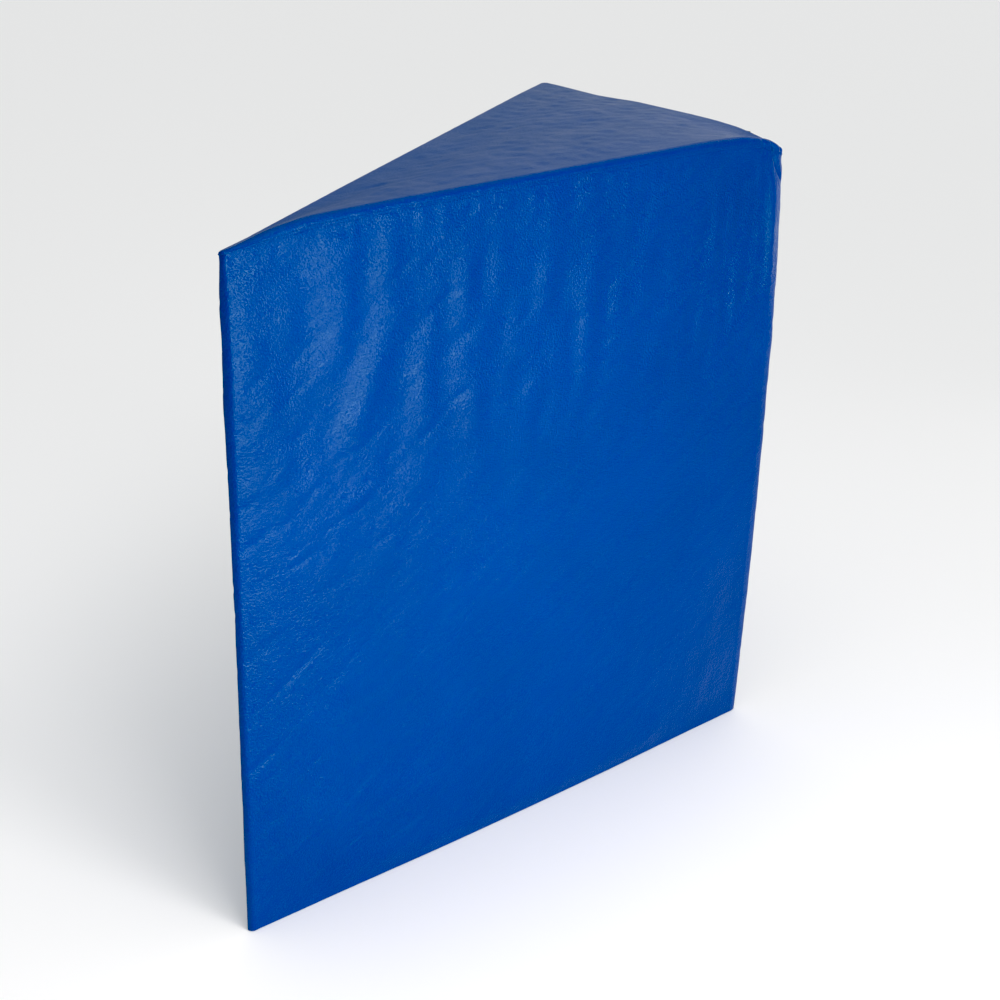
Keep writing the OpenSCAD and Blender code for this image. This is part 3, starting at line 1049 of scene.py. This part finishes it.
def vinyl_material():
    """Leather-grained blue vinyl: pebbled grain, fine creases, and a soft uneven gloss."""
    m, nodes, links, shader = new_material("blue_vinyl")
    where = nodes.new("ShaderNodeTexCoord").outputs["Object"]
    grain = node(nodes, "ShaderNodeTexVoronoi", Scale=540, Randomness=1)
    grain.feature = "SMOOTH_F1"
    grain.inputs["Smoothness"].default_value = 0.35
    pores = node(nodes, "ShaderNodeTexNoise", Scale=900, Detail=3, Roughness=0.6)
    creases = node(nodes, "ShaderNodeTexVoronoi", Scale=60, Randomness=1)
    creases.feature = "DISTANCE_TO_EDGE"
    bend = node(nodes, "ShaderNodeTexNoise", Scale=18, Detail=4, Roughness=0.6)
    patches = node(nodes, "ShaderNodeTexNoise", Scale=7, Detail=5, Roughness=0.62)
    smudges = node(nodes, "ShaderNodeTexNoise", Scale=26, Detail=3, Roughness=0.55)
    bent = nodes.new("ShaderNodeVectorMath")
    bent.operation = "MULTIPLY_ADD"
    bent.inputs[1].default_value = (0.05, 0.05, 0.05)
    links.new(where, bend.inputs["Vector"])
    links.new(bend.outputs["Color"], bent.inputs[0])
    links.new(where, bent.inputs[2])
    for n in (grain, pores, patches, smudges):
        links.new(where, n.inputs["Vector"])
    links.new(bent.outputs[0], creases.inputs["Vector"])
    crease_height = ranged(nodes, links, creases.outputs["Distance"], 0, 0.06, 0, 1)
    n1 = bumped(nodes, links, crease_height, 0.10, 0.4 * MM)
    n2 = bumped(nodes, links, grain.outputs["Distance"], 1, 0.33 * MM, n1)
    n3 = bumped(nodes, links, pores.outputs["Fac"], 1, 0.32 * MM, n2)
    links.new(n3, shader.inputs["Normal"])
    tone = ranged(nodes, links, patches.outputs["Fac"], 0.35, 0.65, 0, 1)
    colour = mix_colour(nodes, links, tone, (0.0005, 0.0200, 0.182), (0.0007, 0.0228, 0.199))
    pore_tone = ranged(nodes, links, grain.outputs["Distance"], 0.1, 0.9, 0, 0.12)
    colour = mix_colour(nodes, links, pore_tone, colour, (0.0004, 0.016, 0.160))
    links.new(colour, shader.inputs["Base Color"])
    glints = node(nodes, "ShaderNodeTexNoise", Scale=1000, Detail=2, Roughness=0.6)
    links.new(where, glints.inputs["Vector"])
    slant = nodes.new("ShaderNodeMapping")
    slant.vector_type = "TEXTURE"
    slant.inputs["Rotation"].default_value = (0, math.radians(-28), 0)
    slant.inputs["Scale"].default_value = (1, 0.3, 0.14)
    links.new(where, slant.inputs["Vector"])
    rubbed = node(nodes, "ShaderNodeTexNoise", Scale=20, Detail=4, Roughness=0.65)
    links.new(slant.outputs["Vector"], rubbed.inputs["Vector"])
    shine = nodes.new("ShaderNodeMath")
    shine.operation = "MULTIPLY"
    links.new(ranged(nodes, links, glints.outputs["Fac"], 0.36, 0.64, 0.11, 0.42), shine.inputs[0])
    links.new(ranged(nodes, links, rubbed.outputs["Fac"], 0.38, 0.66, 0.9, 1.14), shine.inputs[1])
    links.new(shine.outputs[0], shader.inputs["Specular IOR Level"])
    gloss = ranged(nodes, links, smudges.outputs["Fac"], 0.3, 0.7, 0.30, 0.38)
    links.new(gloss, shader.inputs["Roughness"])
    shader.inputs["Specular Tint"].default_value = (0.55, 1, 1, 1)
    shader.inputs["IOR"].default_value = 1.48
    return m


def simple_material(name, colour, other, scale, roughness, metallic=0.0, depth=0.1, specular=0.5):
    """A material with a fine noise in its colour and its surface."""
    m, nodes, links, shader = new_material(name)
    where = nodes.new("ShaderNodeTexCoord").outputs["Object"]
    noise = node(nodes, "ShaderNodeTexNoise", Scale=scale, Detail=4, Roughness=0.6)
    links.new(where, noise.inputs["Vector"])
    share = ranged(nodes, links, noise.outputs["Fac"], 0.35, 0.65, 0, 1)
    links.new(mix_colour(nodes, links, share, colour, other), shader.inputs["Base Color"])
    links.new(bumped(nodes, links, noise.outputs["Fac"], 0.4, depth * MM), shader.inputs["Normal"])
    shader.inputs["Roughness"].default_value = roughness
    shader.inputs["Metallic"].default_value = metallic
    shader.inputs["Specular IOR Level"].default_value = specular
    return m


def woven_material():
    """Black polyester weave: fine twill lines across the tape."""
    m, nodes, links, shader = new_material("black_weave")
    where = nodes.new("ShaderNodeTexCoord").outputs["Object"]
    lines = node(nodes, "ShaderNodeTexWave", Scale=420, Distortion=1.5, Detail=1)
    lines.bands_direction = "DIAGONAL"
    links.new(where, lines.inputs["Vector"])
    tone = mix_colour(nodes, links, lines.outputs["Fac"], (0.006, 0.006, 0.007), (0.022, 0.022, 0.025))
    links.new(tone, shader.inputs["Base Color"])
    links.new(bumped(nodes, links, lines.outputs["Fac"], 0.6, 0.15 * MM), shader.inputs["Normal"])
    shader.inputs["Roughness"].default_value = 0.8
    shader.inputs["Sheen Weight"].default_value = 0.15
    return m


vinyl = vinyl_material()
thread = simple_material("blue_thread", (0.001, 0.030, 0.18), (0.002, 0.045, 0.25), 3000, 0.6, specular=0.2)
cream_foam = simple_material("cream_foam", (0.62, 0.56, 0.38), (0.74, 0.69, 0.52), 700, 0.9, depth=0.6)
nylon = simple_material("black_nylon", (0.008, 0.008, 0.009), (0.014, 0.014, 0.016), 900, 0.35)
woven = woven_material()
metal = simple_material("zip_metal", (0.45, 0.45, 0.46), (0.58, 0.58, 0.6), 1400, 0.32, 1.0, 0.05)


# ---------------------------------------------------------------- the mat

foam = foam_wedge()
block = foam_block()
base = wall(
    "base_panel",
    0,
    HEEL_SEAM,
    base_swell,
    base_wrinkle,
    foot=base_foot,
    drawn=base_drawn,
    close=HEEL_CLOSE,
)
lower = wall(
    "tall_end_lower_panel",
    HEEL_SEAM,
    ZIP_LOW,
    flat_swell,
    plain_wrinkle(40),
    hem=beside_zip(ZIP_LOW),
)
upper = wall(
    "tall_end_upper_panel",
    ZIP_HIGH,
    CREST_SEAM,
    plain_swell(44),
    plain_wrinkle(45),
    hem=beside_zip(ZIP_HIGH),
)
incline = wall("incline_panel", CREST_SEAM, GIRTH, plain_swell(50), plain_wrinkle(51))
top = upper_side()
bottom = lower_side()
bpy.data.objects.remove(block)

stitched("thread_side_top", side_line(), top)
stitched("thread_side_bottom", side_line(UNDER_INSET + STITCH_INSET, UNDER_HEIGHT), bottom)
stitched("thread_toe", upright_line(STITCH_INSET), base)
stitched("thread_heel", upright_line(HEEL_SEAM - STITCH_INSET), base)
stitched("thread_crest", upright_line(CREST_SEAM + STITCH_INSET), incline)
stitched("thread_zip_upper", upright_line(ZIP_HIGH + STITCH_INSET), upper)
stitched("thread_zip_lower", upright_line(ZIP_LOW - STITCH_INSET), lower)

for side in ("upper", "lower"):
    coil("zip_teeth_" + side)
    tape("zip_tape_" + side)
eased("zip_top_stops", BODY, 0.35 * MM)
eased("zip_bottom_stop", BODY, 0.35 * MM)
eased("zip_slider", "slider", 0.18 * MM)
eased("zip_pull_tab", "pull_tab", 0.22 * MM)

# ---------------------------------------------------------------- floor, lights, camera


def place_camera():
    """The camera of the photograph's view: a 63 mm lens, 24 degrees down, a little rolled."""
    yaw, pitch, roll = (math.radians(a) for a in (40.46, 24.05, 1.32))
    level = np.array([math.sin(yaw), math.cos(yaw), 0])
    forward = level * math.cos(pitch) - np.array([0, 0, math.sin(pitch)])
    right = np.array([math.cos(yaw), -math.sin(yaw), 0])
    up = np.cross(right, forward)
    turned_right = math.cos(roll) * right + math.sin(roll) * up
    turned_up = -math.sin(roll) * right + math.cos(roll) * up
    camera = linked(bpy.data.objects.new("camera", bpy.data.cameras.new("camera")))
    camera.data.lens = 62.9
    camera.data.sensor_width = 36
    toe_corner = np.array([LOW_X, LOW_Y, 0])
    spot = toe_corner + LENGTH * np.array([-1.04, -1.74, 1.57])
    m = Matrix.Identity(4)
    for i, axis in enumerate((turned_right, turned_up, -forward, spot)):
        for k in range(3):
            m[k][i] = axis[k]
    camera.matrix_world = m
    bpy.context.scene.camera = camera


def area_light(name, spot, aim, size, power, spread):
    data = bpy.data.lights.new(name, "AREA")
    data.shape = "RECTANGLE"
    data.size, data.size_y = size
    data.energy = power
    data.spread = math.radians(spread)
    lamp = linked(bpy.data.objects.new(name, data))
    direction = np.array(aim, float) - np.array(spot, float)
    lamp.rotation_mode = "QUATERNION"
    lamp.rotation_quaternion = Vector(direction).to_track_quat("-Z", "Y")
    lamp.location = spot


place_camera()

FLOOR_REACH = 8
floor_mesh = bpy.data.meshes.new("floor")
floor_corners = [(x * FLOOR_REACH, y * FLOOR_REACH, 0) for x, y in ((-1, -1), (1, -1), (1, 1), (-1, 1))]
floor_mesh.from_pydata(floor_corners, [], [(0, 1, 2, 3)])
floor = linked(bpy.data.objects.new("floor", floor_mesh))
floor_material, _, _, floor_shader = new_material("floor")
floor_shader.inputs["Base Color"].default_value = (0.93, 0.93, 0.93, 1)
floor_shader.inputs["Roughness"].default_value = 0.8
floor.data.materials.append(floor_material)

sun = bpy.data.lights.new("sun", "SUN")
sun.energy = 0.3
sun.angle = math.radians(25)
sun_lamp = linked(bpy.data.objects.new("sun", sun))
sun_lamp.rotation_mode = "QUATERNION"
sun_lamp.rotation_quaternion = Vector((0.25, 0.8, -0.6)).to_track_quat("-Z", "Y")

# Name, place, what it points at, size, power in watts, and spread in degrees.
LAMPS = [
    ("low_front", (0.10, -1.75, 0.24), (-0.18, -0.17, 0.32), (0.65, 0.4), 5.6, 80),
    ("overhead", (-0.2, -1.1, 1.7), (-0.1, -0.55, 0), (0.8, 0.5), 4.5, 120),
    ("low_right", (1.85, -0.12, 0.26), (0.3, -0.17, 0.5), (0.35, 0.24), 0.38, 100),
]
for lamp in LAMPS:
    area_light(*lamp)


def studio_world():
    """A pale studio, brighter behind the mat on its right than on the camera's left."""
    world = bpy.data.worlds.new("studio")
    bpy.context.scene.world = world
    world.use_nodes = True
    nodes, links = world.node_tree.nodes, world.node_tree.links
    direction = nodes.new("ShaderNodeTexCoord").outputs["Generated"]
    strengths = []
    for aim, low, high, most in (((1, 0.35, 0.2), 0.7, 0.98, 0.76), ((0, 0, 1), 0.35, 0.9, 0.98)):
        facing = nodes.new("ShaderNodeVectorMath")
        facing.operation = "DOT_PRODUCT"
        links.new(direction, facing.inputs[0])
        facing.inputs[1].default_value = Vector(aim).normalized()
        strengths.append(ranged(nodes, links, facing.outputs["Value"], low, high, 0.13, most))
    both = nodes.new("ShaderNodeMath")
    links.new(strengths[0], both.inputs[0])
    links.new(strengths[1], both.inputs[1])
    strength = both.outputs[0]
    background = nodes["Background"]
    background.inputs["Color"].default_value = (1, 1, 1, 1)
    links.new(strength, background.inputs["Strength"])


studio_world()
view = bpy.context.scene.view_settings
view.view_transform = "Standard"
view.use_curve_mapping = True
view.curve_mapping.black_level = (0.039, 0.011, 0.011)
